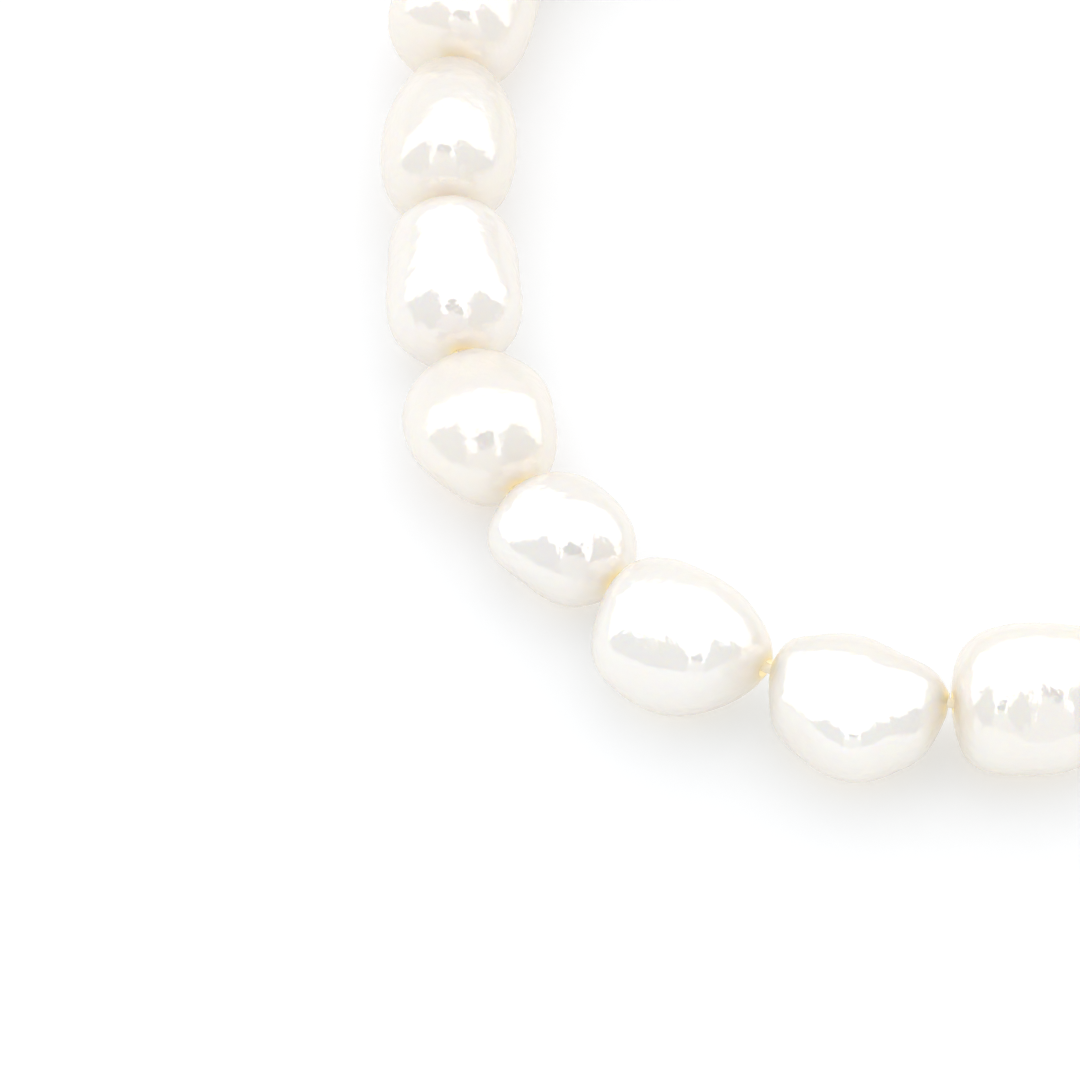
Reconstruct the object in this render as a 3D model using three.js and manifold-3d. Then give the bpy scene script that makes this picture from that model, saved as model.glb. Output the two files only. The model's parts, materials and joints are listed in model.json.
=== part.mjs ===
// A bracelet of baroque freshwater pearls on an elastic cord, lying flat as a closed oval.
// Millimetres, +Z up. The origin is on the surface that the pearls lie on, under the middle.
import * as THREE from "three";
import { mergeVertices } from "three/addons/utils/BufferGeometryUtils.js";
import Module from "manifold-3d";

// The oval that the holes follow, seen from above. Its size comes from the pearls.
const OVAL_ASPECT = 1.17; // depth along Y over width along X
const OVAL_POWER = 2.2; // 2 is an ellipse, more is squarer
const KNOT_ANGLE = THREE.MathUtils.degToRad(60.5); // where the knot sits, from +X
const SMALLEST_OVAL = 15; // half widths between which the closing size is looked for
const LARGEST_OVAL = 60;
const HALVINGS = 50; // of an interval in which a size or an angle is looked for

// The drilled holes, and the clearance at each junction.
const BORE_RADIUS = 0.5;
const PEARL_GAP = 0.3;
const KNOT_GAP = 1.2; // between the last pearl and the first, where the knot sits

// How finely the pearls are faceted.
const PEARL_SIDES = 16;
const HALF_RINGS = 7; // rings from an end of a pearl to its widest place
const DENT_SPREAD = 0.35; // reach of a dent along the pearl, as a share of its half length

// The elastic cord and its knot.
const CORD_RADIUS = 0.25;
const CORD_SIDES = 8;
const CORD_STEPS = 80;
const KNOT_RADIUS = 0.36;
const KNOT_TUBE = 0.17;
const KNOT_STEPS = 24;
const KNOT_SIDES = 5;
const KNOT_TURNS = [2, 3]; // round its axis and through its middle: an overhand knot
const TAIL_LENGTH = 1.8;
const TAIL_SPREAD = THREE.MathUtils.degToRad(35); // between each cut end and straight up

// One row for each pearl, in order round the bracelet from the knot.
//   length, width, height  size along the hole, across it, and standing up
//   bias                   how far the body's middle stands outside the hole
//   tail, nose             bluntness of the first and second end: 2 is an ellipse, more is blunter
//   outerPeak, innerPeak   where each side is widest, from -1 at the tail to 1 at the nose
//   dent, dentAt           a shallow waist: its share of the radius, and its place
//   sway                   how far the hole at the nose lies outside the oval
const COLUMNS = [
  "length", "width", "height", "bias", "tail", "nose",
  "outerPeak", "innerPeak", "dent", "dentAt", "sway",
];
const ROWS = [
  [9.2, 7.3, 7.1, 0.0, 2.3, 2.2, 0.1, 0.1, 0.0, 0.0, 0.1],
  [8.8, 7.6, 7.4, 0.2, 2.1, 2.3, 0.0, -0.1, 0.0, 0.0, 0.0],
  [9.5, 7.0, 7.0, 0.0, 2.4, 2.2, 0.0, 0.0, 0.03, 0.1, 0.0],
  [8.6, 7.2, 6.9, -0.2, 2.2, 2.1, -0.1, 0.1, 0.0, 0.0, -0.1],
  [9.3, 7.5, 7.3, 0.0, 2.2, 2.4, 0.2, 0.0, 0.0, 0.0, 0.1],
  [9.2, 7.8, 7.6, 0.5, 2.3, 2.6, 0.2, 0.2, 0.0, 0.0, 0.2],
  [9.6, 7.3, 6.8, 0.0, 2.7, 2.6, 0.2, 0.0, 0.0, 0.0, -0.35],
  [9.2, 7.1, 7.0, 0.15, 3.3, 2.5, 0.0, 0.0, 0.03, -0.2, 0.05],
  [8.8, 7.9, 7.1, 0.6, 2.4, 2.0, 0.05, 0.0, 0.0, 0.0, 0.3],
  [7.5, 6.9, 6.5, 0.2, 2.4, 2.1, -0.2, 0.0, 0.0, 0.0, -0.2],
  [9.1, 7.5, 7.3, 1.15, 2.4, 2.0, -0.1, 0.0, 0.0, 0.0, 0.0],
  [9.1, 7.3, 7.2, 1.15, 1.9, 1.7, 0.1, -0.15, 0.0, 0.0, 0.0],
  [9.6, 7.7, 7.6, 0.0, 2.9, 2.3, -0.25, 0.0, 0.04, 0.3, 0.0],
  [9.5, 7.1, 7.0, 0.1, 2.2, 2.2, 0.0, 0.0, 0.03, -0.3, 0.0],
  [8.6, 7.7, 7.5, 0.0, 2.2, 2.3, 0.1, -0.1, 0.0, 0.0, 0.0],
  [9.1, 7.2, 7.0, -0.1, 2.4, 2.1, -0.2, -0.1, 0.0, 0.0, 0.1],
  [9.5, 7.4, 7.2, 0.0, 2.2, 2.4, 0.0, 0.2, 0.0, 0.0, 0.0],
  [8.7, 7.0, 6.9, 0.2, 2.5, 2.5, 0.0, 0.0, 0.04, 0.0, -0.1],
  [9.4, 7.6, 7.4, 0.0, 2.1, 2.3, 0.1, 0.0, 0.0, 0.0, 0.0],
  [8.9, 7.3, 7.1, 0.0, 2.4, 2.2, 0.0, 0.1, 0.0, 0.0, 0.1],
  [9.3, 7.5, 7.2, 0.1, 2.2, 2.2, -0.1, 0.1, 0.0, 0.0, 0.0],
];
const PEARLS = ROWS.map((row) =>
  Object.fromEntries(COLUMNS.map((column, i) => [column, row[i]])),
);

const PEARL_FINISH = { color: 0xf6efe6, roughness: 0.22, metalness: 0 };
const CORD_FINISH = { color: 0xf2f0ea, roughness: 0.35, metalness: 0 };

const UP = new THREE.Vector3(0, 0, 1);

const wasm = await Module();
wasm.setup();

const signedPower = (value, power) => Math.sign(value) * Math.abs(value) ** power;

// The least number in an interval at which a test that turns true once is true.
function leastThat(test, low, high) {
  for (let halving = 0; halving < HALVINGS; halving += 1) {
    const middle = (low + high) / 2;
    if (test(middle)) high = middle;
    else low = middle;
  }
  return high;
}

// A point of the oval, pushed outwards by sway.
function ovalPoint(halfWidth, angle, sway) {
  const power = 2 / OVAL_POWER;
  const point = new THREE.Vector2(
    halfWidth * signedPower(Math.cos(angle), power),
    halfWidth * OVAL_ASPECT * signedPower(Math.sin(angle), power),
  );
  return point.addScaledVector(point.clone().normalize(), sway);
}

// The clearance at a pearl's tail: the knot's for the first pearl, and after the last one.
const gapBefore = (index) => (index % PEARLS.length === 0 ? KNOT_GAP : PEARL_GAP);

// From the middle of one gap to the middle of the next.
const pitch = (index) =>
  PEARLS[index].length + (gapBefore(index) + gapBefore(index + 1)) / 2;

// Steps round the oval from the knot, a pearl at a time, to the middle of each gap.
function stepRound(halfWidth) {
  let angle = KNOT_ANGLE;
  const junctions = [ovalPoint(halfWidth, angle, PEARLS.at(-1).sway)];
  PEARLS.forEach(({ sway }, index) => {
    const start = junctions.at(-1);
    const isFar = (to) => ovalPoint(halfWidth, to, sway).distanceTo(start) >= pitch(index);
    angle = leastThat(isFar, angle, angle + Math.PI / 2);
    junctions.push(ovalPoint(halfWidth, angle, sway));
  });
  return { junctions, turned: angle - KNOT_ANGLE };
}

// The junctions of the string on the oval that it just closes on, each midway in height between
// its two pearls, because every pearl lies on the surface.
function closedString() {
  const closes = (halfWidth) => stepRound(halfWidth).turned <= 2 * Math.PI;
  const { junctions } = stepRound(leastThat(closes, SMALLEST_OVAL, LARGEST_OVAL));
  return PEARLS.map((pearl, index) => {
    const { x, y } = junctions[index];
    return new THREE.Vector3(x, y, (PEARLS.at(index - 1).height + pearl.height) / 4);
  });
}

// The closed outline that a lathe turns into a drilled pearl. Its radius is 1 on the hole's wall
// and 2 at the widest place, and its height runs from -1 at the tail to 1 at the nose.
function drilledOutline({ tail, nose }) {
  const outline = [];
  for (let ring = -HALF_RINGS; ring <= HALF_RINGS; ring += 1) {
    const angle = ((ring / HALF_RINGS) * Math.PI) / 2;
    const power = 2 / (ring < 0 ? tail : nose);
    const width = Math.abs(ring) === HALF_RINGS ? 0 : Math.cos(angle) ** power;
    outline.push(new THREE.Vector2(1 + width, signedPower(Math.sin(angle), power)));
  }
  outline.push(outline[0].clone());
  return outline;
}

// How far the surface stands from the hole's middle: the hole's radius where the share of the
// body is 0, half the size where it is 1, and a round shoulder between.
const reach = (size, share) =>
  Math.hypot(BORE_RADIUS, share * Math.sqrt((size / 2) ** 2 - BORE_RADIUS ** 2));

// A pearl about its hole: X is the bracelet's outer side, Y runs from tail to nose, Z is up.
function pearlGeometry(pearl, lift) {
  const geometry = new THREE.LatheGeometry(drilledOutline(pearl), PEARL_SIDES);
  const { position } = geometry.attributes;
  const point = new THREE.Vector3();
  for (let i = 0; i < position.count; i += 1) {
    point.fromBufferAttribute(position, i);
    const turned = Math.hypot(point.x, point.z);
    const side = point.x / turned;
    const rise = point.z / turned;
    const peak = THREE.MathUtils.lerp(pearl.innerPeak, pearl.outerPeak, (1 + side) / 2);
    const station = point.y + peak * (1 - point.y ** 2);
    const dent = pearl.dent * Math.exp(-(((station - pearl.dentAt) / DENT_SPREAD) ** 2));
    const share = (turned - 1) * (1 - dent);
    position.setXYZ(
      i,
      side * reach(pearl.width, share) + share * pearl.bias,
      (station * pearl.length) / 2,
      rise * reach(pearl.height, share) + share * lift,
    );
  }
  return geometry;
}

// A geometry with positions alone, its seams closed.
function welded(geometry) {
  geometry.deleteAttribute("normal");
  geometry.deleteAttribute("uv");
  return mergeVertices(geometry);
}

function namedMesh(name, geometry, finish) {
  const skin = welded(geometry);
  skin.computeVertexNormals();
  const mesh = new THREE.Mesh(skin, new THREE.MeshStandardMaterial(finish));
  mesh.name = name;
  return mesh;
}

// A pearl threaded between two junctions and let down onto the surface.
function makePearl(index, from, to) {
  const pearl = PEARLS[index];
  const along = to.clone().sub(from).normalize();
  const start = from.clone().addScaledVector(along, gapBefore(index) / 2);
  const middle = start.addScaledVector(along, pearl.length / 2);
  const outer = along.clone().cross(UP).normalize();
  const geometry = pearlGeometry(pearl, pearl.height / 2 - middle.z);
  const name = `pearl_${String(index + 1).padStart(2, "0")}`;
  const mesh = namedMesh(name, geometry, PEARL_FINISH);
  const turn = new THREE.Matrix4().makeBasis(outer, along, outer.clone().cross(along));
  mesh.quaternion.setFromRotationMatrix(turn);
  mesh.position.copy(middle);
  mesh.position.z -= new THREE.Box3().setFromObject(mesh, true).min.z;
  return mesh;
}

// The cord's middle line from one side of the knot round to the other: through each junction and
// the middle of each hole.
function cordRoute(junctions) {
  const points = [];
  junctions.forEach((junction, index) => {
    const next = junctions[(index + 1) % junctions.length];
    points.push(junction, junction.clone().lerp(next, 0.5));
  });
  points.push(junctions[0]);
  return new THREE.CatmullRomCurve3(points);
}

function cordTube(route) {
  const section = new THREE.Shape();
  section.absarc(0, 0, CORD_RADIUS, 0, 2 * Math.PI);
  return new THREE.ExtrudeGeometry(section, {
    steps: CORD_STEPS,
    curveSegments: CORD_SIDES / 2, // three.js doubles this on a round arc
    extrudePath: route,
  });
}

// An overhand knot pulled tight, its axis along the cord.
function knot(junction, along) {
  const geometry = new THREE.TorusKnotGeometry(
    KNOT_RADIUS, KNOT_TUBE, KNOT_STEPS, KNOT_SIDES, ...KNOT_TURNS,
  );
  const turn = new THREE.Quaternion().setFromUnitVectors(UP, along);
  return geometry.applyQuaternion(turn).translate(junction.x, junction.y, junction.z);
}

// A cut end of the cord that stands out of the knot.
function cutEnd(junction, along, lean) {
  const geometry = new THREE.CylinderGeometry(CORD_RADIUS, CORD_RADIUS, TAIL_LENGTH, CORD_SIDES);
  geometry.translate(0, TAIL_LENGTH / 2, 0).rotateX(Math.PI / 2);
  const turn = new THREE.Quaternion().setFromAxisAngle(along, lean);
  return geometry.applyQuaternion(turn).translate(junction.x, junction.y, junction.z);
}

function solidOf(geometry) {
  const { attributes, index } = welded(geometry);
  return new wasm.Manifold(new wasm.Mesh({
    numProp: 3,
    vertProperties: attributes.position.array,
    triVerts: new Uint32Array(index.array),
  }));
}

function geometryOf(solid) {
  const { vertProperties, triVerts } = solid.getMesh();
  const geometry = new THREE.BufferGeometry();
  geometry.setAttribute("position", new THREE.BufferAttribute(vertProperties, 3));
  geometry.setIndex(new THREE.BufferAttribute(triVerts, 1));
  return geometry;
}

function makeCord(junctions) {
  const start = junctions[0];
  const along = junctions[1].clone().sub(junctions.at(-1)).normalize();
  const pieces = [
    knot(start, along),
    cutEnd(start, along, TAIL_SPREAD),
    cutEnd(start, along, -TAIL_SPREAD),
  ];
  const tube = solidOf(cordTube(cordRoute(junctions)));
  const cord = pieces.reduce((solid, piece) => solid.add(solidOf(piece)), tube);
  return namedMesh("elastic_cord", geometryOf(cord), CORD_FINISH);
}

// The whole bracelet, with the middle of its box in plan over the origin.
function makeBracelet() {
  const group = new THREE.Group();
  const junctions = closedString();
  junctions.forEach((from, index) => {
    const to = junctions[(index + 1) % junctions.length];
    group.add(makePearl(index, from, to));
  });
  group.add(makeCord(junctions));
  const box = new THREE.Box3().setFromObject(group, true);
  const middle = box.getCenter(new THREE.Vector3());
  group.position.set(-middle.x, -middle.y, -box.min.z);
  return group;
}

export default makeBracelet();
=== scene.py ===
"""A beaded bracelet of 21 baroque freshwater pearls on an elastic cord.

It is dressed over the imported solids. Lengths are in metres. The bracelet lies flat on a white
floor inside a white light tent.
"""

import json
import logging
import math
from collections.abc import Iterable, Iterator
from contextlib import contextmanager
from dataclasses import dataclass, field
from enum import Enum

import bpy
from mathutils import Matrix, Vector

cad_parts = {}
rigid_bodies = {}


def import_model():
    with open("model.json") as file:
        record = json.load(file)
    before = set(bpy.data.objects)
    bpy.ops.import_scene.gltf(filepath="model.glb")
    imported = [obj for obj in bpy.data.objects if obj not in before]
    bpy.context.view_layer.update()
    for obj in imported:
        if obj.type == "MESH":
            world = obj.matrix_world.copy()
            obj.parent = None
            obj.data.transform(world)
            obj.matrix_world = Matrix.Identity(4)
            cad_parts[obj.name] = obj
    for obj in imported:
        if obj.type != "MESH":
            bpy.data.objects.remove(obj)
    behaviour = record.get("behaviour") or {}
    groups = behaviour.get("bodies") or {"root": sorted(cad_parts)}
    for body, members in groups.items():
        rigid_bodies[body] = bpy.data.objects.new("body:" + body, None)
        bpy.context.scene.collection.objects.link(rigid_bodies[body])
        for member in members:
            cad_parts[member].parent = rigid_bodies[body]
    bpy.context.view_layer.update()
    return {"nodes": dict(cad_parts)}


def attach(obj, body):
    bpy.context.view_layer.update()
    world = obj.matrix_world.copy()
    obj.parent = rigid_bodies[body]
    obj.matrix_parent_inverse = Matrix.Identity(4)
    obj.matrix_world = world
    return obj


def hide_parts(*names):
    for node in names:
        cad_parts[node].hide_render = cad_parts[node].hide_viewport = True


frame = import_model()
Colour = tuple[float, float, float, float]
Socket = bpy.types.NodeSocket
LOG = logging.getLogger("bracelet")
MM = 0.001
UP = Vector((0, 0, 1))
WELD = 1e-6
"""Points nearer than this are one point."""


# Small helpers ---------------------------------------------------------------


def pick_only(obj: bpy.types.Object) -> None:
    """Deselects everything, then selects one object and makes it active.

    Args:
        obj: The object that the next operator works on.
    """
    for other in bpy.context.selected_objects:
        other.select_set(False)
    obj.select_set(True)
    bpy.context.view_layer.objects.active = obj


@contextmanager
def editing(obj: bpy.types.Object, mode: str = "VERT") -> Iterator[bpy.types.Mesh]:
    """Edit mode on one object with nothing selected, left again at the end.

    Args:
        obj: The mesh object to edit.
        mode: What is selected: VERT, EDGE or FACE.

    Yields:
        The mesh, for reading its elements.
    """
    pick_only(obj)
    bpy.ops.object.mode_set(mode="EDIT")
    bpy.ops.mesh.select_mode(type=mode)
    bpy.ops.mesh.select_all(action="DESELECT")
    try:
        yield obj.data
    finally:
        bpy.ops.object.mode_set(mode="OBJECT")


def select_where(obj: bpy.types.Object, kind: str, wanted: list[int]) -> None:
    """Selects elements by index, from inside edit mode.

    Args:
        obj: The object in edit mode.
        kind: vertices, edges or polygons.
        wanted: The indices to select.
    """
    bpy.ops.mesh.select_all(action="DESELECT")
    bpy.ops.object.mode_set(mode="OBJECT")
    elements = getattr(obj.data, kind)
    for index in wanted:
        elements[index].select = True
    bpy.ops.object.mode_set(mode="EDIT")


def apply_modifier(obj: bpy.types.Object, name: str) -> None:
    """Applies one modifier of an object by name.

    Args:
        obj: The object that holds it.
        name: The modifier's name.
    """
    pick_only(obj)
    bpy.ops.object.modifier_apply(modifier=name)


class Nodes:
    """Makes and joins the nodes of one node tree."""

    def __init__(self, tree: bpy.types.NodeTree) -> None:
        """Starts from an empty tree.

        Args:
            tree: The tree to fill.
        """
        self.tree = tree
        tree.nodes.clear()

    def add(self, kind: str, **values: object) -> bpy.types.Node:
        """Adds a node.

        Args:
            kind: The node's type name without its prefix.
            values: Its properties.

        Returns:
            The node.
        """
        prefix = "Node" if kind in ("GroupInput", "GroupOutput") else "ShaderNode"
        node = self.tree.nodes.new(prefix + kind)
        for name, value in values.items():
            setattr(node, name, value)
        return node

    def join(self, source: Socket, target: Socket) -> None:
        """Links two sockets."""
        self.tree.links.new(source, target)

    def maths(self, operation: str, *terms: object) -> Socket:
        """Adds a Math node.

        Args:
            operation: What it does, such as MULTIPLY.
            terms: Numbers or sockets.

        Returns:
            Its output socket.
        """
        node = self.add("Math", operation=operation)
        self.fill(node.inputs, terms)
        return node.outputs[0]

    def vector(self, operation: str, *terms: object) -> Socket:
        """Adds a Vector Math node.

        Args:
            operation: What it does, such as DOT_PRODUCT.
            terms: Triples or sockets.

        Returns:
            Its value for a dot product, or else its vector.
        """
        node = self.add("VectorMath", operation=operation)
        self.fill(node.inputs, terms)
        return node.outputs["Value" if operation == "DOT_PRODUCT" else "Vector"]

    def fill(self, inputs: Iterable[Socket], terms: Iterable[object]) -> None:
        """Puts each term on its input, as a link or a value.

        Args:
            inputs: The inputs to fill.
            terms: Sockets or values, in order.
        """
        for socket, term in zip(inputs, terms):
            if isinstance(term, Socket):
                self.join(term, socket)
            else:
                socket.default_value = term

    def ramp(
        self, value: Socket, start: float, end: float, low: float = 0.0, high: float = 1.0
    ) -> Socket:
        """A smooth step of a value.

        Args:
            value: The socket that drives it.
            start: Where it begins to change.
            end: Where it has changed.
            low: The result before start.
            high: The result after end.

        Returns:
            The result's socket.
        """
        node = self.add("MapRange", interpolation_type="SMOOTHSTEP")
        self.fill(node.inputs, (value, start, end, low, high))
        return node.outputs[0]

    def noise(self, place: Socket, scale: object, detail: float = 2.0) -> Socket:
        """Adds a noise.

        Args:
            place: Where it is read.
            scale: How fine it is, as a number or socket.
            detail: How many finer layers it has.

        Returns:
            Its value's socket.
        """
        node = self.add("TexNoise", noise_dimensions="3D")
        inputs = (node.inputs["Vector"], node.inputs["Scale"], node.inputs["Detail"])
        self.fill(inputs, (place, scale, detail))
        return node.outputs[0]

    def mix_colour(self, share: object, first: object, second: object) -> Socket:
        """Mixes two colours.

        Args:
            share: How much of the second, as a number or socket.
            first: A colour or socket.
            second: A colour or socket.

        Returns:
            The mixed colour's socket.
        """
        node = self.add("Mix", data_type="RGBA")
        self.fill((node.inputs[0], node.inputs[6], node.inputs[7]), (share, first, second))
        return node.outputs[2]

    def mix_value(self, share: object, first: object, second: object) -> Socket:
        """Mixes two numbers.

        Args:
            share: How much of the second, as a number or socket.
            first: A number or socket.
            second: A number or socket.

        Returns:
            The mixed number's socket.
        """
        node = self.add("Mix", data_type="FLOAT")
        self.fill((node.inputs[0], node.inputs[2], node.inputs[3]), (share, first, second))
        return node.outputs[0]


def group_socket(group: bpy.types.NodeTree, name: str, kind: str, way: str = "INPUT") -> None:
    """Declares one socket of a node group.

    Args:
        group: The group's tree.
        name: The socket's name.
        kind: Float, Color or Vector.
        way: INPUT or OUTPUT.
    """
    group.interface.new_socket(name=name, in_out=way, socket_type="NodeSocket" + kind)


# Finishes --------------------------------------------------------------------

CLOUD_SHIFTS = (0.0, 0.31)
"""How far apart the two overtones' clouds are taken from the same noise."""
CLOUD_EDGE = (0.42, 0.72)
"""The noise values between which a cloud fades in."""
# painted light: a warm gold laid on the drill hole and round its mouths, where the pearls meet,
# standing in for the warm light in the creases
PAINTED_CREASE_GOLD = (0.92, 0.87, 0.60, 1.0)
# the colour of the pearls' painted glow, for daylight that has come through them
PASSED_LIGHT = (1.0, 0.84, 0.62, 1.0)


def skin_tone_group() -> bpy.types.NodeTree:
    """The colour of a pearl's skin.

    A body colour drifts to its two overtones in soft clouds, and a golden tint is painted round
    the drill hole, as painted warm crease light where the pearls meet.

    Returns:
        The node group.
    """
    group = bpy.data.node_groups.new("pearl_skin_tone", "ShaderNodeTree")
    for name in ("Body", "First overtone", "Second overtone", "Painted crease gold"):
        group_socket(group, name, "Color")
    for name in ("Cloud scale", "Cloud strength"):
        group_socket(group, name, "Float")
    group_socket(group, "Colour", "Color", "OUTPUT")
    made = Nodes(group)
    given = made.add("GroupInput").outputs
    place = made.add("TexCoord").outputs["Object"]
    clouds = []
    for shift in CLOUD_SHIFTS:
        moved = made.vector("ADD", place, (shift, shift * 2, -shift))
        share = made.ramp(made.noise(moved, given["Cloud scale"]), *CLOUD_EDGE)
        clouds.append(made.maths("MULTIPLY", share, given["Cloud strength"]))
    first = made.mix_colour(clouds[0], given["Body"], given["First overtone"])
    second = made.mix_colour(clouds[1], first, given["Second overtone"])
    # painted crease light: the drill mask lays the gold over the skin near the hole
    drill = made.add("Attribute", attribute_name="drill").outputs["Fac"]
    gold = made.mix_colour(drill, second, given["Painted crease gold"])
    out = made.add("GroupOutput")
    made.join(gold, out.inputs["Colour"])
    return group


def skin_relief_group() -> bpy.types.NodeTree:
    """The height of the growth wrinkles on a pearl's skin, coarse and fine.

    Returns:
        The node group.
    """
    group = bpy.data.node_groups.new("pearl_skin_relief", "ShaderNodeTree")
    for name in ("Wrinkle scale", "Wrinkle depth", "Grain scale", "Grain depth"):
        group_socket(group, name, "Float")
    group_socket(group, "Height", "Float", "OUTPUT")
    made = Nodes(group)
    given = made.add("GroupInput").outputs
    place = made.add("TexCoord").outputs["Object"]
    heights = []
    for name, detail in (("Wrinkle", 1.0), ("Grain", 2.0)):
        noise = made.noise(place, given[name + " scale"], detail)
        heights.append(made.maths("MULTIPLY", noise, given[name + " depth"]))
    out = made.add("GroupOutput")
    made.join(made.maths("ADD", *heights), out.inputs["Height"])
    return group


SKIN_TONE = skin_tone_group()
SKIN_RELIEF = skin_relief_group()


@dataclass(frozen=True)
class NacreFinish:
    """Pearl skin: a cream body under layers that reflect like soft glass."""

    name: str
    body: Colour
    first_overtone: Colour
    second_overtone: Colour
    cloud_scale: float = 260.0
    cloud_strength: float = 0.6
    roughness: float = 0.10
    shine: float = 0.30
    """The metal-like share of the gloss."""
    bend: float = 1.5
    gloss: float = 0.3
    rim: Colour = (0.97, 0.93, 0.88, 1.0)
    """The tint of the shine where the skin turns away."""
    layers: float = 1.0
    layer_tint: Colour = (0.98, 0.962, 0.935, 1.0)
    """What the outer layers let through, less where the skin turns away."""
    layer_roughness: float = 0.3
    layer_bend: float = 1.16
    wrinkle_scale: float = 2400.0
    wrinkle_depth: float = 0.000022
    grain_scale: float = 6000.0
    grain_depth: float = 0.000004
    passed: float = 0.26
    # How strongly the skin glows with painted light onto what touches the pearl, as daylight that
    # comes through it would.
    """How strongly daylight comes through onto what touches the pearl."""
    passed_reach: float = 2.5 * MM
    # painted glow: how strongly the skin round the drill's mouths gives off warm light
    drill_glow: float = 0.16
    scatter: float = 12.0 * MM
    """How far red light travels inside the pearl."""
    scatter_share: tuple[float, float, float] = (1.0, 0.7, 0.42)
    """How far red, green and blue travel, as shares of that."""

    def build(self) -> bpy.types.Material:
        """Makes the material.

        Returns:
            The material, ready to be put on a pearl.
        """
        material = bpy.data.materials.new(self.name)
        material.use_nodes = True
        material.cycles.emission_sampling = "NONE"
        made = Nodes(material.node_tree)
        tone = made.add("Group", node_tree=SKIN_TONE)
        for name, value in (
            ("Body", self.body),
            ("First overtone", self.first_overtone),
            ("Second overtone", self.second_overtone),
            # painted crease gold round the drill's mouths
            ("Painted crease gold", PAINTED_CREASE_GOLD),
            ("Cloud scale", self.cloud_scale),
            ("Cloud strength", self.cloud_strength),
        ):
            tone.inputs[name].default_value = value
        relief = made.add("Group", node_tree=SKIN_RELIEF)
        for name, value in (
            ("Wrinkle scale", self.wrinkle_scale),
            ("Wrinkle depth", self.wrinkle_depth),
            ("Grain scale", self.grain_scale),
            ("Grain depth", self.grain_depth),
        ):
            relief.inputs[name].default_value = value
        bump = made.add("Bump")
        bump.inputs["Distance"].default_value = 1.0
        made.join(relief.outputs["Height"], bump.inputs["Height"])
        skin = made.add("BsdfPrincipled")
        made.join(tone.outputs["Colour"], skin.inputs["Base Color"])
        made.join(bump.outputs["Normal"], skin.inputs["Normal"])
        # painted glow: the skin gives off warm light, seen only by diffuse rays from close by, for
        # daylight that has come through a pearl and warms what lies close to it; it isn't seen on
        # the pearl itself, apart from a little painted glow at the drill's mouths
        path = made.add("LightPath").outputs
        fading = made.ramp(path["Ray Length"], 0.0, self.passed_reach, self.passed, 0.0)
        near = made.maths("MULTIPLY", path["Is Diffuse Ray"], fading)
        drill = made.add("Attribute", attribute_name="drill").outputs["Fac"]
        glow = made.maths("MULTIPLY_ADD", drill, self.drill_glow, near)
        passed = made.mix_colour(glow, (0.0, 0.0, 0.0, 1.0), PASSED_LIGHT)
        made.join(passed, skin.inputs["Emission Color"])
        skin.inputs["Emission Strength"].default_value = 1.0
        skin.inputs["Roughness"].default_value = self.roughness
        skin.inputs["Metallic"].default_value = self.shine
        skin.inputs["IOR"].default_value = self.bend
        skin.inputs["Specular IOR Level"].default_value = self.gloss
        skin.inputs["Specular Tint"].default_value = self.rim
        skin.inputs["Coat Weight"].default_value = self.layers
        skin.inputs["Coat Roughness"].default_value = self.layer_roughness
        skin.inputs["Coat IOR"].default_value = self.layer_bend
        skin.inputs["Coat Tint"].default_value = self.layer_tint
        skin.inputs["Subsurface Weight"].default_value = 1.0
        skin.inputs["Subsurface Radius"].default_value = self.scatter_share
        skin.inputs["Subsurface Scale"].default_value = self.scatter
        out = made.add("OutputMaterial")
        made.join(skin.outputs["BSDF"], out.inputs["Surface"])
        return material


class Nacre(Enum):
    """The skins in this strand."""

    WARM_WHITE = NacreFinish(
        "nacre_warm_white",
        (0.93, 0.925, 0.895, 1),
        (0.94, 0.92, 0.905, 1),
        (0.93, 0.93, 0.87, 1),
    )
    PEACH = NacreFinish(
        "nacre_peach",
        (0.935, 0.905, 0.875, 1),
        (0.945, 0.895, 0.88, 1),
        (0.935, 0.91, 0.85, 1),
        roughness=0.13,
        shine=0.26,
    )
    ROSE_WHITE = NacreFinish(
        "nacre_rose_white",
        (0.93, 0.932, 0.92, 1),
        (0.94, 0.927, 0.925, 1),
        (0.93, 0.935, 0.905, 1),
    )
    GREEN_WHITE = NacreFinish(
        "nacre_green_white",
        (0.925, 0.937, 0.92, 1),
        (0.915, 0.937, 0.925, 1),
        (0.93, 0.932, 0.905, 1),
    )
    IVORY = NacreFinish(
        "nacre_ivory",
        (0.935, 0.937, 0.91, 1),
        (0.935, 0.932, 0.915, 1),
        (0.93, 0.932, 0.88, 1),
    )


@dataclass(frozen=True)
class ElasticFinish:
    """Clear stretch cord, a little milky."""

    name: str = "elastic_milky"
    colour: Colour = (0.82, 0.79, 0.70, 1.0)
    milk: Colour = (0.90, 0.88, 0.82, 1.0)
    milk_scale: float = 900.0
    unevenness: float = 0.00002
    roughness: float = 0.22
    bend: float = 1.5

    def build(self) -> bpy.types.Material:
        """Makes the material.

        Returns:
            The material, ready to be put on the cord.
        """
        material = bpy.data.materials.new(self.name)
        material.use_nodes = True
        made = Nodes(material.node_tree)
        place = made.add("TexCoord").outputs["Object"]
        noise = made.noise(place, self.milk_scale)
        tone = made.mix_colour(noise, self.colour, self.milk)
        bump = made.add("Bump")
        bump.inputs["Distance"].default_value = self.unevenness
        made.join(noise, bump.inputs["Height"])
        skin = made.add("BsdfPrincipled")
        made.join(tone, skin.inputs["Base Color"])
        made.join(bump.outputs["Normal"], skin.inputs["Normal"])
        skin.inputs["Roughness"].default_value = self.roughness
        skin.inputs["IOR"].default_value = self.bend
        out = made.add("OutputMaterial")
        made.join(skin.outputs["BSDF"], out.inputs["Surface"])
        return material


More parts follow.
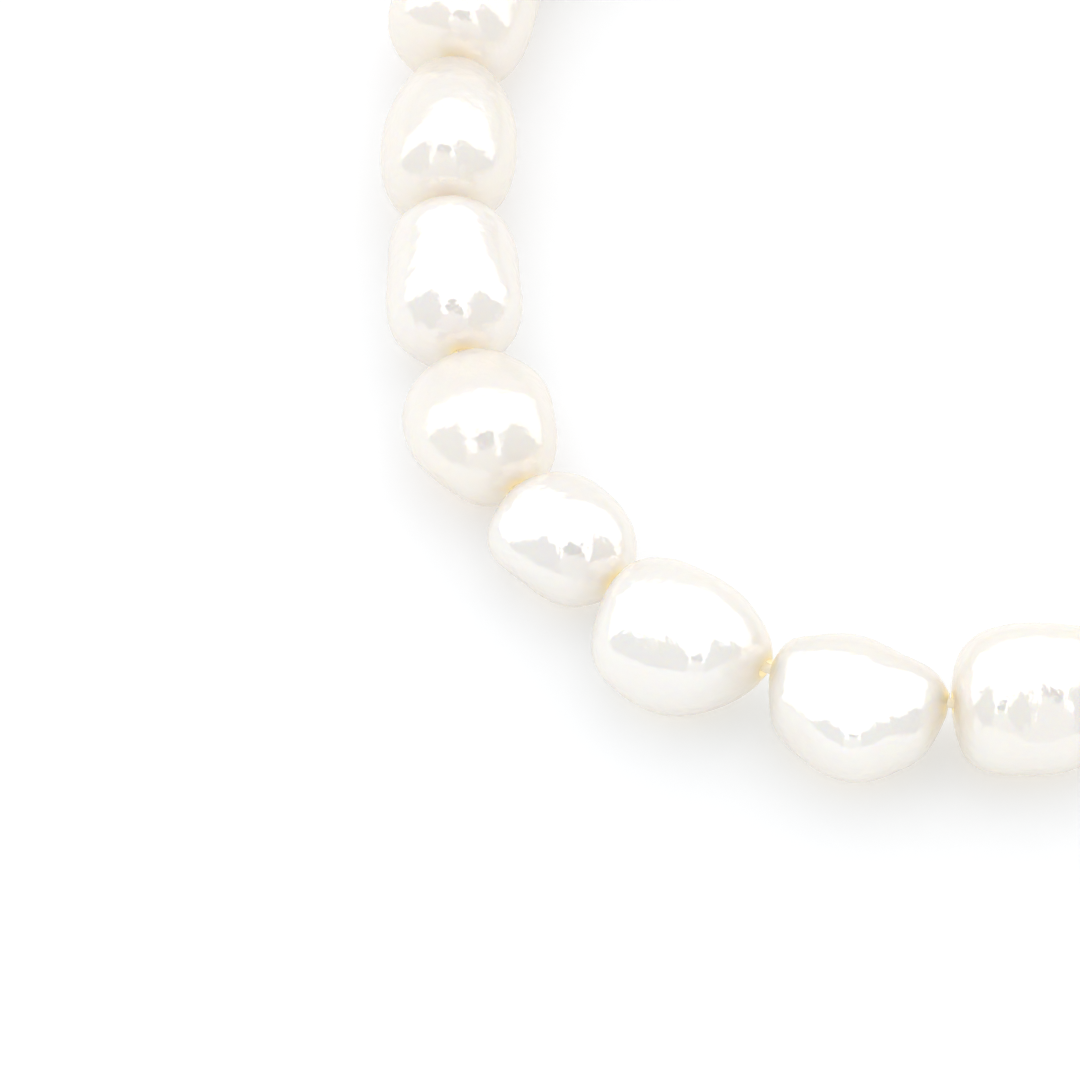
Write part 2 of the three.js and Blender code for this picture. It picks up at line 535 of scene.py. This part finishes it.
@dataclass(frozen=True)
class PaperFinish:
    """The white sweep that the bracelet lies on."""

    name: str = "white_paper"
    white: Colour = (0.89, 0.90, 0.915, 1.0)
    fleck: float = 1.01
    """How much whiter than the sheet its flecks are."""
    fleck_scale: float = 400.0
    roughness: float = 0.9
    gloss: float = 0.1
    backlight: float = 0.10

    def build(self) -> bpy.types.Material:
        """Makes the material.

        Returns:
            The material, ready to be put on the floor.
        """
        material = bpy.data.materials.new(self.name)
        material.use_nodes = True
        made = Nodes(material.node_tree)
        place = made.add("TexCoord").outputs["Object"]
        noise = made.noise(place, self.fleck_scale)
        flecks = tuple(part * self.fleck for part in self.white[:3]) + (1.0,)
        tone = made.mix_colour(noise, self.white, flecks)
        skin = made.add("BsdfPrincipled")
        made.join(tone, skin.inputs["Base Color"])
        skin.inputs["Roughness"].default_value = self.roughness
        skin.inputs["Specular IOR Level"].default_value = self.gloss
        skin.inputs["Emission Color"].default_value = (1.0, 1.0, 1.0, 1.0)
        skin.inputs["Emission Strength"].default_value = self.backlight
        out = made.add("OutputMaterial")
        made.join(skin.outputs["BSDF"], out.inputs["Surface"])
        return material


# Pearls ----------------------------------------------------------------------

NEAR = 0.9
"""An edge longer than this share of the drill hole belongs to the hole's wall."""
RIM_LEVEL = 0.985
"""The share of the half length past which a point lies at a mouth of the hole."""
RIM_SPREAD = 0.06 * MM
"""How far outside the hole a mouth's rim may lie."""
HOLE_WALL = 0.1 * MM
"""How far outside the hole the skin begins."""
RING_SPREAD = 0.25 * MM
"""How far apart along the pearl the points of one ring may stand."""


@dataclass(frozen=True)
class Touch:
    """One push on a pearl's skin, as a thumb would leave it in clay."""

    along: float
    """Share of the half length, positive towards the next pearl."""
    around: float
    """Degrees from straight up, positive towards the outside of the loop."""
    reach: float
    """How far from its middle the skin moves, in millimetres."""
    lift: float
    """How far the middle moves out, or in where negative, in millimetres."""


@dataclass(frozen=True)
class Waist:
    """A ring drawn in, or let out, round a pearl."""

    along: float
    """Share of the half length, positive towards the next pearl."""
    reach: float
    """How far along the pearl the skin moves, in millimetres."""
    width: float
    """The ring's new width as a share of the old."""
    height: float
    """The ring's new height as a share of the old."""


@dataclass
class Pearl:
    """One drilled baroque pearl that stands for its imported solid."""

    node: str
    finish: Nacre = Nacre.WARM_WHITE
    touches: tuple[Touch, ...] = ()
    waists: tuple[Waist, ...] = ()
    lumpiness: float = 0.12 * MM
    lump_size: float = 2.6 * MM
    wrinkle: float = 0.07 * MM
    wrinkle_size: float = 0.7 * MM
    skin_foot: float = 1.2 * MM
    """How far from the drill hole the skin's relief has its full height."""
    fullness: float = 1.033
    """How much rounding takes off the width and height, given back beforehand."""
    length_fullness: float = 1.008
    long_rings: int = 5
    """Cuts along the drill hole's wall, which keep its faces near square."""
    rounding: int = 3
    mouth_crease: float = 0.6
    bore: float = 0.5 * MM
    """The drill hole's radius."""
    halo: float = 0.7 * MM
    # How far the painted gold crease light round the drill hole spreads over the skin.
    """How far the drill hole's gold spreads over the skin."""
    axis: Vector = field(default_factory=Vector)
    mouths: tuple[Vector, Vector] = field(default_factory=lambda: (Vector(), Vector()))
    piece: bpy.types.Object | None = None

    def build(self, materials: dict[Nacre, bpy.types.Material]) -> bpy.types.Object:
        """Makes the dressed pearl.

        Args:
            materials: The material of each finish.

        Returns:
            The finished piece.
        """
        self.copy_solid()
        self.find_drill_line()
        self.ready_cage()
        for waist in self.waists:
            self.squeeze(waist)
        for touch in self.touches:
            self.push(touch)
        self.smooth_skin()
        self.wrinkle_skin()
        self.settle()
        self.mark_drill()
        self.piece.data.materials.clear()
        self.piece.data.materials.append(materials[self.finish])
        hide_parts(self.node)
        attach(self.piece, "root")
        return self.piece

    def copy_solid(self) -> None:
        """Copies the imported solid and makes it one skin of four-sided faces."""
        pick_only(frame["nodes"][self.node])
        bpy.ops.object.duplicate()
        copy = bpy.context.active_object
        copy.name = "nacre_" + self.node
        copy.data.name = copy.name
        bpy.ops.object.parent_clear(type="CLEAR_KEEP_TRANSFORM")
        for key in list(copy.keys()):
            del copy[key]
        self.piece = copy
        pick_only(copy)
        bpy.ops.mesh.customdata_custom_splitnormals_clear()
        with editing(copy):
            bpy.ops.mesh.select_all(action="SELECT")
            bpy.ops.mesh.remove_doubles(threshold=WELD)
            bpy.ops.mesh.tris_convert_to_quads(face_threshold=math.pi, shape_threshold=math.pi)
            bpy.ops.mesh.mark_sharp(clear=True)

    def find_drill_line(self) -> None:
        """Finds the drill hole's two mouths, which the longest edges join."""
        mesh = self.piece.data
        ends = [[mesh.vertices[i].co for i in edge.vertices] for edge in mesh.edges]
        lengths = [(a - b).length for a, b in ends]
        longest = max(lengths)
        pairs = [pair for pair, length in zip(ends, lengths) if length > NEAR * longest]
        middle = sum((a + b for a, b in pairs), Vector()) / (2 * len(pairs))
        onward = Vector((-middle.y, middle.x, 0.0))
        ahead, behind = Vector(), Vector()
        for a, b in pairs:
            first, last = (a, b) if (b - a).dot(onward) > 0 else (b, a)
            behind += first / len(pairs)
            ahead += last / len(pairs)
        self.mouths = (behind, ahead)
        self.axis = (ahead - behind).normalized()

    @property
    def middle(self) -> Vector:
        """The middle of the drill hole."""
        return (self.mouths[0] + self.mouths[1]) / 2

    @property
    def half_length(self) -> float:
        """Half of the drill hole's length."""
        return (self.mouths[1] - self.mouths[0]).length / 2

    @property
    def spin(self) -> Matrix:
        """The pearl's own directions: along the drill line, across it, and up."""
        return Matrix((self.axis, self.axis.cross(UP).normalized(), UP)).transposed()

    def spot(self, along: float, around: float) -> Vector:
        """A far point in the direction of a place on the skin.

        Args:
            along: Share of the half length, positive towards the next pearl.
            around: Degrees from straight up, positive towards the outside.

        Returns:
            The direction's point, well outside the pearl, level with that place.
        """
        turn = math.radians(around)
        side = self.axis.cross(UP).normalized()
        out = side if side.dot(self.middle) > 0 else -side
        radial = UP * math.cos(turn) + out * math.sin(turn)
        return self.middle + self.axis * (along * self.half_length) + radial * self.half_length

    def ready_cage(self) -> None:
        """Fills the cage out by what smoothing takes away, and keeps the drill's mouths crisp."""
        with editing(self.piece):
            bpy.ops.mesh.select_all(action="SELECT")
            bpy.ops.transform.resize(
                value=(self.length_fullness, self.fullness, self.fullness),
                orient_type="GLOBAL",
                orient_matrix=self.spin,
                orient_matrix_type="GLOBAL",
                center_override=self.piece_middle(),
            )
        with editing(self.piece, "EDGE") as mesh:
            whole = NEAR * 2 * self.half_length
            wall = []
            for edge in mesh.edges:
                first, last = (mesh.vertices[i].co for i in edge.vertices)
                if (first - last).length > whole:
                    wall.append(edge.index)
            select_where(self.piece, "edges", wall)
            bpy.ops.mesh.subdivide(number_cuts=self.long_rings)
        with editing(self.piece, "EDGE") as mesh:
            rim = []
            for edge in mesh.edges:
                ends = [mesh.vertices[i].co for i in edge.vertices]
                if all(self.at_mouth(end) for end in ends):
                    rim.append(edge.index)
            select_where(self.piece, "edges", rim)
            bpy.ops.transform.edge_crease(value=self.mouth_crease)

    def at_mouth(self, point: Vector) -> bool:
        """Whether a point of the cage lies on the rim of a mouth of the drill hole."""
        close = self.off_axis(point) < self.bore + RIM_SPREAD
        return close and self.past_middle(point) > RIM_LEVEL

    def piece_middle(self) -> Vector:
        """The middle of the piece's box."""
        corners = [v.co for v in self.piece.data.vertices]
        low = Vector(min(c[i] for c in corners) for i in range(3))
        high = Vector(max(c[i] for c in corners) for i in range(3))
        return (low + high) / 2

    def off_axis(self, point: Vector) -> float:
        """How far a point is from the drill line."""
        arm = point - self.middle
        return (arm - self.axis * arm.dot(self.axis)).length

    def past_middle(self, point: Vector) -> float:
        """How far a point is along the drill line, as a share of the half length."""
        return abs((point - self.middle).dot(self.axis)) / self.half_length

    def squeeze(self, waist: Waist) -> None:
        """Draws a ring of the skin in or out.

        Args:
            waist: The ring.
        """
        level = waist.along * self.half_length
        with editing(self.piece) as mesh:
            skin = []
            for vertex in mesh.vertices:
                if self.off_axis(vertex.co) > self.bore + HOLE_WALL:
                    past = (vertex.co - self.middle).dot(self.axis) - level
                    skin.append((vertex.index, abs(past)))
            nearest = min(past for _, past in skin)
            ring = [index for index, past in skin if past < nearest + RING_SPREAD]
            select_where(self.piece, "vertices", ring)
            bpy.ops.transform.resize(
                value=(1.0, waist.width, waist.height),
                orient_type="GLOBAL",
                orient_matrix=self.spin,
                orient_matrix_type="GLOBAL",
                center_override=self.middle + self.axis * level,
                use_proportional_edit=True,
                proportional_edit_falloff="SMOOTH",
                proportional_size=waist.reach * MM,
            )

    def push(self, touch: Touch) -> None:
        """Moves a patch of the skin out or in.

        Args:
            touch: The push.
        """
        target = self.spot(touch.along, touch.around)
        foot = self.middle + self.axis * (touch.along * self.half_length)
        with editing(self.piece) as mesh:
            nearest = min(mesh.vertices, key=lambda vertex: (vertex.co - target).length)
            out = (nearest.co - foot).normalized()
            select_where(self.piece, "vertices", [nearest.index])
            bpy.ops.transform.translate(
                value=out * (touch.lift * MM),
                use_proportional_edit=True,
                proportional_edit_falloff="SMOOTH",
                proportional_size=touch.reach * MM,
            )

    def smooth_skin(self) -> None:
        """Rounds the cage into a smooth skin."""
        rounding = self.piece.modifiers.new("rounding", "SUBSURF")
        rounding.levels = rounding.render_levels = self.rounding
        apply_modifier(self.piece, "rounding")
        bpy.ops.object.shade_smooth()

    def wrinkle_skin(self) -> None:
        """Raises lumps and fine wrinkles on the skin, which die out at the drill's mouths."""
        group = self.piece.vertex_groups.new(name="skin")
        for vertex in self.piece.data.vertices:
            clear = (self.off_axis(vertex.co) - self.bore) / self.skin_foot
            group.add([vertex.index], min(1.0, max(0.0, clear)), "REPLACE")
        for name, size, depth, noise in (
            ("lumps", self.lump_size, self.lumpiness, 0),
            ("wrinkles", self.wrinkle_size, self.wrinkle, 2),
        ):
            texture = bpy.data.textures.new(f"{self.node}_{name}", "CLOUDS")
            texture.noise_scale = size
            texture.noise_depth = noise
            texture.noise_basis = "ORIGINAL_PERLIN"
            relief = self.piece.modifiers.new(name, "DISPLACE")
            relief.texture = texture
            relief.texture_coords = "LOCAL"
            relief.mid_level = 0.5
            relief.strength = depth
            relief.vertex_group = "skin"
            apply_modifier(self.piece, name)
        self.piece.vertex_groups.clear()

    def settle(self) -> None:
        """Sets the pearl down on the floor."""
        lowest = min(v.co.z for v in self.piece.data.vertices)
        with editing(self.piece):
            bpy.ops.mesh.select_all(action="SELECT")
            bpy.ops.transform.translate(value=(0, 0, -lowest))

    def mark_drill(self) -> None:
        """Marks the drill hole and a soft edge round its mouths, where the finish paints gold
        crease light and a glow.
        """
        mesh = self.piece.data
        drill = mesh.attributes.new("drill", "FLOAT", "POINT")
        for vertex in mesh.vertices:
            wide = max(0.0, self.off_axis(vertex.co) - self.bore)
            near = max(0.0, 1.0 - wide / self.halo)
            drill.data[vertex.index].value = near * near * min(1.0, 0.5 + near / 2)


# Cord ------------------------------------------------------------------------


@dataclass
class ElasticCord:
    """The stretch cord through every pearl, closed by a knot with two cut ends."""

    thickness: float = 0.5 * MM
    knot_radius: float = 0.36 * MM
    knot_thickness: float = 0.36 * MM
    knot_steps: int = 30
    sides: int = 4
    """How finely a quarter of the cord's roundness is divided."""
    steps: int = 6
    """How finely the cord is divided between two points of its route."""
    sharp: float = 50.0
    """Degrees past which an edge stays sharp, as at the cut ends."""
    tail_length: float = 1.8 * MM
    tail_spread: float = 35.0
    """Degrees that a cut end leans from straight up."""
    finish: ElasticFinish = field(default_factory=ElasticFinish)

    def build(self, pearls: list[Pearl]) -> bpy.types.Object:
        """Makes the cord.

        Args:
            pearls: The dressed pearls, in order round the loop.

        Returns:
            The finished piece.
        """
        before, after = pearls[-1].mouths[1], pearls[0].mouths[0]
        start, along = (before + after) / 2, (after - before).normalized()
        route = []
        for pearl in pearls:
            route += [pearl.mouths[0], pearl.middle, pearl.mouths[1]]
        piece = self.strand("elastic_loop", route, self.thickness, True)
        parts = [self.strand("knot", self.knot_path(start, along), self.knot_thickness, True)]
        for name, side in (("outer_end", 1), ("inner_end", -1)):
            tail = self.tail_path(start, along, side)
            parts.append(self.strand(name, tail, self.thickness, False))
        pick_only(piece)
        for part in parts:
            part.select_set(True)
        bpy.ops.object.join()
        with editing(piece):
            bpy.ops.mesh.select_all(action="SELECT")
            bpy.ops.mesh.remove_doubles(threshold=WELD)
            bpy.ops.mesh.normals_make_consistent(inside=False)
        bpy.ops.object.shade_smooth_by_angle(angle=math.radians(self.sharp))
        piece.data.materials.clear()
        piece.data.materials.append(self.finish.build())
        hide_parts("elastic_cord")
        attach(piece, "root")
        return piece

    def strand(
        self, name: str, route: list[Vector], thickness: float, closed: bool
    ) -> bpy.types.Object:
        """Makes a length of round cord.

        Args:
            name: The strand's name.
            route: The points that its middle line runs through.
            thickness: The cord's diameter.
            closed: Whether it closes on itself. If it doesn't, its ends are cut flat.

        Returns:
            The strand, as a mesh.
        """
        curve = bpy.data.curves.new(name, "CURVE")
        curve.dimensions = "3D"
        curve.bevel_depth = thickness / 2
        curve.bevel_resolution = self.sides
        curve.resolution_u = self.steps
        curve.use_fill_caps = not closed
        spline = curve.splines.new("BEZIER")
        spline.bezier_points.add(len(route) - 1)
        for point, place in zip(spline.bezier_points, route):
            point.co = place
            point.handle_left_type = point.handle_right_type = "AUTO"
        spline.use_cyclic_u = closed
        strand = bpy.data.objects.new(name, curve)
        bpy.context.scene.collection.objects.link(strand)
        pick_only(strand)
        bpy.ops.object.convert(target="MESH")
        strand = bpy.context.active_object
        strand.name = strand.data.name = name
        return strand

    def knot_path(self, start: Vector, along: Vector) -> list[Vector]:
        """The line of an overhand knot pulled tight.

        Args:
            start: The knot's middle.
            along: The cord's direction there, which the knot winds round.

        Returns:
            Points along the closed line.
        """
        across = along.cross(UP).normalized()
        rise = across.cross(along)
        path = []
        for step in range(self.knot_steps):
            turn = 4 * math.pi * step / self.knot_steps
            wide = self.knot_radius * (1 + math.cos(1.5 * turn) / 2)
            deep = self.knot_radius * math.sin(1.5 * turn) / 2
            aside, above = wide * math.cos(turn), wide * math.sin(turn)
            path.append(start + across * aside + rise * above + along * deep)
        return path

    def tail_path(self, start: Vector, along: Vector, side: int) -> list[Vector]:
        """The line of a cut end, which stands up out of the knot and curls a little.

        Args:
            start: The knot's middle.
            along: The cord's direction there.
            side: 1 for the outside of the loop and -1 for the inside.

        Returns:
            Points along the line.
        """
        lean = math.radians(self.tail_spread)
        out = along.cross(UP).normalized() * side
        way = UP * math.cos(lean) + out * math.sin(lean)
        curl = along * (0.1 * self.tail_length * side)
        tip = start + way * self.tail_length + curl
        return [start, start + way * (0.5 * self.tail_length), tip]


# Studio ----------------------------------------------------------------------


@dataclass
class LightTent:
    """A white tent open towards the camera, over a white floor."""

    floor_width: float = 4.0
    backdrop: float = 1.05
    """How bright the backdrop looks to the camera."""
    cloth: float = 1.3
    """How strongly the cloth lights what stands in the tent."""
    sides: float = 0.76
    """The light from straight left or right, as a share of the cloth's."""
    front_light: float = 0.78
    """The light from the open front, as a share of the cloth's."""
    front_reach: float = 0.5
    """How far forward a direction points where that share is reached."""
    gleam: float = 1.75
    """How bright the cloth is in the pearls' gloss."""
    sweep: float = 0.95
    """How bright the floor's upward sweep is there."""
    sweep_foot: float = 0.05
    sweep_rise: float = 0.43
    """How much higher the sweep stands at the back than at the sides."""
    front: float = 0.88
    """How bright the opening under the camera is there."""
    corners: float = 0.68
    """How bright the cloth's lower corners beside the opening are there."""
    lens: float = 0.3
    """How bright the camera itself is there."""
    camera_height: float = 54.0
    opening_edge: tuple[float, float] = (0.37, 0.43)
    """How far to the side the opening ends, from and to."""
    corner_top: tuple[float, float] = (52.0, 57.0)
    """Degrees above the floor at which the corners end, from and to."""
    opening_top: tuple[float, float] = (30.0, 36.0)
    slot_edge: tuple[float, float] = (0.24, 0.28)
    """How far to the side the slot for the camera ends, from and to."""
    slot_top: tuple[float, float] = (0.76, 0.80)
    camera_width: tuple[float, float] = (13.0, 16.0)
    """Half of the angle that the camera takes up across, from and to."""
    camera_depth: tuple[float, float] = (7.0, 9.5)

    def build(self) -> None:
        """Makes the floor and the tent's light."""
        bpy.ops.mesh.primitive_plane_add(size=self.floor_width, location=(0, 0, 0))
        floor = bpy.context.active_object
        floor.name = "white_floor"
        floor.data.materials.append(PaperFinish().build())
        self.light()

    def light(self) -> None:
        """Paints the tent's brightness in each direction."""
        world = bpy.data.worlds.new("light_tent")
        bpy.context.scene.world = world
        world.use_nodes = True
        made = Nodes(world.node_tree)
        way = made.add("TexCoord").outputs["Generated"]
        forward = made.vector("DOT_PRODUCT", way, (0.0, -1.0, 0.0))
        aside = made.maths("ABSOLUTE", made.vector("DOT_PRODUCT", way, (1.0, 0.0, 0.0)))
        given = self.given_light(made, forward, aside)
        mirrored = self.mirrored_tent(made, way, forward, aside)
        path = made.add("LightPath").outputs
        seen = made.mix_value(path["Is Glossy Ray"], given, mirrored)
        # the eye sees the plain backdrop, and the pearls see the tent
        shown = made.mix_value(path["Is Camera Ray"], seen, self.backdrop)
        light = made.add("Background")
        light.inputs["Color"].default_value = (1, 1, 1, 1)
        made.join(shown, light.inputs["Strength"])
        out = made.add("OutputWorld")
        made.join(light.outputs["Background"], out.inputs["Surface"])

    def given_light(self, made: Nodes, forward: Socket, aside: Socket) -> Socket:
        """The soft light that falls from each direction.

        Args:
            made: The world's nodes.
            forward: How far the direction points to the open front.
            aside: How far it points to either side.

        Returns:
            The light's strength.
        """
        cloth = made.maths("MULTIPLY", self.cloth, made.ramp(aside, 0.0, 1.0, 1.0, self.sides))
        # the open front gives less light than the cloth
        opening = made.ramp(forward, 0.0, self.front_reach, 1.0, self.front_light)
        return made.maths("MULTIPLY", cloth, opening)

    def mirrored_tent(self, made: Nodes, way: Socket, forward: Socket, aside: Socket) -> Socket:
        """The tent as the pearls' gloss shows it.

        Args:
            made: The world's nodes.
            way: The direction.
            forward: How far it points to the open front.
            aside: How far it points to either side.

        Returns:
            The brightness in that direction.
        """
        rise = made.vector("DOT_PRODUCT", way, UP)
        # the sweep behind the bracelet rises higher at the back than at the sides
        behind = made.maths("MAXIMUM", made.vector("DOT_PRODUCT", way, (0.0, 1.0, 0.0)), 0.0)
        squared = made.maths("MULTIPLY", behind, behind)
        edge = made.maths("MULTIPLY_ADD", squared, self.sweep_rise, self.sweep_foot)
        over = made.maths("SUBTRACT", rise, edge)
        above = made.ramp(over, -0.01, 0.01, self.sweep, self.gleam)
        # the opening under the camera is dimmer than the cloth, which hangs down beside it
        ahead = made.ramp(forward, 0.0, 0.06)
        beside = made.ramp(aside, *self.opening_edge)
        middle = made.maths("SUBTRACT", 1.0, beside)
        low = made.ramp(rise, *self.sines(self.opening_top), 1.0, 0.0)
        slot = made.maths(
            "MULTIPLY",
            made.ramp(aside, *self.slot_edge, 1.0, 0.0),
            made.ramp(rise, *self.slot_top, 1.0, 0.0),
        )
        under = made.maths("MULTIPLY", middle, made.maths("MAXIMUM", low, slot))
        tent = made.mix_value(made.maths("MULTIPLY", under, ahead), above, self.front)
        below = made.ramp(rise, *self.sines(self.corner_top), 1.0, 0.0)
        corner = made.maths("MULTIPLY", beside, below)
        tent = made.mix_value(made.maths("MULTIPLY", corner, ahead), tent, self.corners)
        return made.mix_value(self.camera_body(made, way, aside), tent, self.lens)

    def camera_body(self, made: Nodes, way: Socket, aside: Socket) -> Socket:
        """Where the pearls' gloss shows the camera itself.

        Args:
            made: The world's nodes.
            way: The direction.
            aside: How far it points to either side.

        Returns:
            A mask of the camera's dark front.
        """
        height = math.radians(self.camera_height)
        to_camera = (0.0, -math.cos(height), math.sin(height))
        above_camera = (0.0, math.sin(height), math.cos(height))
        facing = made.vector("DOT_PRODUCT", way, to_camera)
        across = made.maths("DIVIDE", aside, facing)
        offset = made.maths("DIVIDE", made.vector("DOT_PRODUCT", way, above_camera), facing)
        body = made.maths(
            "MULTIPLY",
            made.ramp(across, *self.tangents(self.camera_width), 1.0, 0.0),
            made.ramp(made.maths("ABSOLUTE", offset), *self.tangents(self.camera_depth), 1.0, 0.0),
        )
        # only in front, and not in the opposite direction
        return made.maths("MULTIPLY", body, made.ramp(facing, 0.5, 0.6))

    @staticmethod
    def sines(angles: tuple[float, float]) -> tuple[float, ...]:
        """The sines of angles in degrees."""
        return tuple(math.sin(math.radians(angle)) for angle in angles)

    @staticmethod
    def tangents(angles: tuple[float, float]) -> tuple[float, ...]:
        """The tangents of angles in degrees."""
        return tuple(math.tan(math.radians(angle)) for angle in angles)


@dataclass
class ProductCamera:
    """A long lens over the near left quarter of the loop."""

    height: float = 54.0
    distance: float = 0.400
    lens: float = 259.65
    target: tuple[float, float, float] = (-0.02338, -0.02323, 0.0038)

    def build(self) -> bpy.types.Object:
        """Makes the camera.

        Returns:
            The scene's camera.
        """
        rise = math.radians(self.height)
        back = Vector((0.0, -math.cos(rise), math.sin(rise)))
        camera = bpy.data.objects.new("product_camera", bpy.data.cameras.new("product_camera"))
        camera.data.lens = self.lens
        camera.data.clip_start = 0.01
        camera.location = Vector(self.target) + back * self.distance
        camera.rotation_euler = (-back).to_track_quat("-Z", "Y").to_euler()
        bpy.context.scene.collection.objects.link(camera)
        bpy.context.scene.camera = camera
        return camera


# Bracelet --------------------------------------------------------------------


@dataclass
class Bracelet:
    """The whole strand: 21 pearls and their cord."""

    pearls: list[Pearl] = field(
        default_factory=lambda: [
            Pearl(
                "pearl_01",
                Nacre.IVORY,
                waists=(Waist(0.5, 3.2, 0.96, 0.9),),
                touches=(Touch(-0.3, 40, 2.0, 0.2),),
            ),
            Pearl("pearl_02", Nacre.WARM_WHITE, waists=(Waist(-0.6, 3.6, 1.0, 0.8),)),
            Pearl(
                "pearl_03",
                Nacre.ROSE_WHITE,
                waists=(Waist(-0.2, 2.4, 0.94, 0.98),),
                touches=(Touch(0.4, -50, 2.0, 0.2),),
            ),
            Pearl("pearl_04", Nacre.GREEN_WHITE, waists=(Waist(0.6, 4.0, 1.0, 0.78),)),
            Pearl(
                "pearl_05",
                Nacre.WARM_WHITE,
                touches=(Touch(0.3, 60, 2.4, 0.4), Touch(-0.4, -40, 2.0, -0.2)),
            ),
            Pearl("pearl_06", Nacre.PEACH),
            Pearl(
                "pearl_07",
                Nacre.PEACH,
                waists=(Waist(0.65, 3.0, 1.0, 1.22), Waist(-0.8, 4.4, 0.86, 0.7)),
                touches=(Touch(0.2, 10, 2.0, 0.2),),
            ),
            Pearl(
                "pearl_08",
                Nacre.ROSE_WHITE,
                waists=(Waist(-0.35, 2.4, 0.96, 1.0), Waist(0.45, 2.4, 1.06, 1.02)),
                touches=(
                    Touch(-0.3, 42, 2.2, -0.16),
                    Touch(-0.3, -42, 2.2, -0.16),
                    Touch(-0.5, -88, 2.4, 0.4),
                ),
            ),
            Pearl(
                "pearl_09",
                Nacre.PEACH,
                waists=(Waist(-0.65, 4.6, 1.0, 0.68),),
                touches=(
                    Touch(0.4, 104, 2.8, -0.6),
                    Touch(-0.4, -80, 2.4, 0.3),
                ),
            ),
            Pearl(
                "pearl_10",
                Nacre.ROSE_WHITE,
                waists=(Waist(-0.6, 4.0, 1.0, 0.82),),
                touches=(Touch(0.0, 117, 3.0, -0.45),),
            ),
            Pearl(
                "pearl_11",
                Nacre.GREEN_WHITE,
                waists=(Waist(-0.6, 3.4, 1.06, 0.9),),
                touches=(
                    Touch(-0.4, 65, 2.6, 0.4),
                    Touch(0.9, 50, 3.6, 1.1),
                    Touch(0.1, 122, 3.6, 0.34),
                ),
            ),
            Pearl(
                "pearl_12",
                Nacre.IVORY,
                waists=(
                    Waist(0.0, 6.0, 1.12, 0.9),
                    Waist(0.9, 2.0, 1.4, 1.3),
                    Waist(-0.9, 2.0, 1.3, 1.2),
                ),
                touches=(
                    Touch(0.0, 60, 2.4, 0.8),
                    Touch(-0.5, 50, 2.0, 0.6),
                    Touch(0.5, 50, 2.0, 0.6),
                    Touch(0.1, 122, 3.4, -0.3),
                ),
            ),
            Pearl(
                "pearl_13",
                Nacre.WARM_WHITE,
                touches=(
                    Touch(0.0, 122, 4.2, 0.36),
                    Touch(-0.12, 50, 1.5, -0.55),
                    Touch(-0.6, 45, 1.6, 0.35),
                    Touch(0.3, 70, 2.0, 0.3),
                ),
            ),
            Pearl(
                "pearl_14",
                Nacre.ROSE_WHITE,
                waists=(Waist(0.4, 3.0, 1.04, 0.95),),
                touches=(Touch(-0.3, 55, 2.2, 0.4),),
            ),
            Pearl("pearl_15", Nacre.IVORY, waists=(Waist(-0.7, 4.0, 0.92, 0.76),)),
            Pearl(
                "pearl_16",
                Nacre.PEACH,
                touches=(Touch(0.0, -60, 2.2, 0.4), Touch(0.4, 40, 2.0, -0.2)),
            ),
            Pearl(
                "pearl_17",
                Nacre.GREEN_WHITE,
                waists=(Waist(0.3, 2.4, 0.95, 1.0), Waist(-0.4, 2.4, 1.03, 1.0)),
            ),
            Pearl("pearl_18", Nacre.WARM_WHITE, waists=(Waist(0.7, 3.6, 0.94, 0.78),)),
            Pearl(
                "pearl_19",
                Nacre.ROSE_WHITE,
                touches=(Touch(-0.2, 60, 2.2, 0.5), Touch(0.5, -50, 1.8, 0.3)),
            ),
            Pearl(
                "pearl_20",
                Nacre.IVORY,
                waists=(Waist(-0.5, 3.0, 1.0, 0.84),),
                touches=(Touch(0.3, 30, 2.0, -0.2),),
            ),
            Pearl(
                "pearl_21",
                Nacre.WARM_WHITE,
                waists=(Waist(0.0, 2.4, 0.95, 0.97),),
                touches=(Touch(0.5, 60, 1.8, 0.3),),
            ),
        ]
    )
    cord: ElasticCord = field(default_factory=ElasticCord)

    def build(self) -> None:
        """Makes every pearl, then the cord through them."""
        materials = {finish: finish.value.build() for finish in Nacre}
        for pearl in self.pearls:
            piece = pearl.build(materials)
            finish = pearl.finish.name.lower()
            LOG.info("%s: %d faces, %s", piece.name, len(piece.data.polygons), finish)
        piece = self.cord.build(self.pearls)
        LOG.info("%s: %d faces", piece.name, len(piece.data.polygons))


def main() -> None:
    """Builds the camera, the studio and the bracelet."""
    logging.basicConfig(level=logging.INFO, format="%(name)s: %(message)s")
    bpy.context.scene.view_settings.view_transform = "Standard"
    ProductCamera().build()
    LOG.info("camera placed")
    LightTent().build()
    LOG.info("light tent and floor made")
    Bracelet().build()


if __name__ == "__main__":
    main()
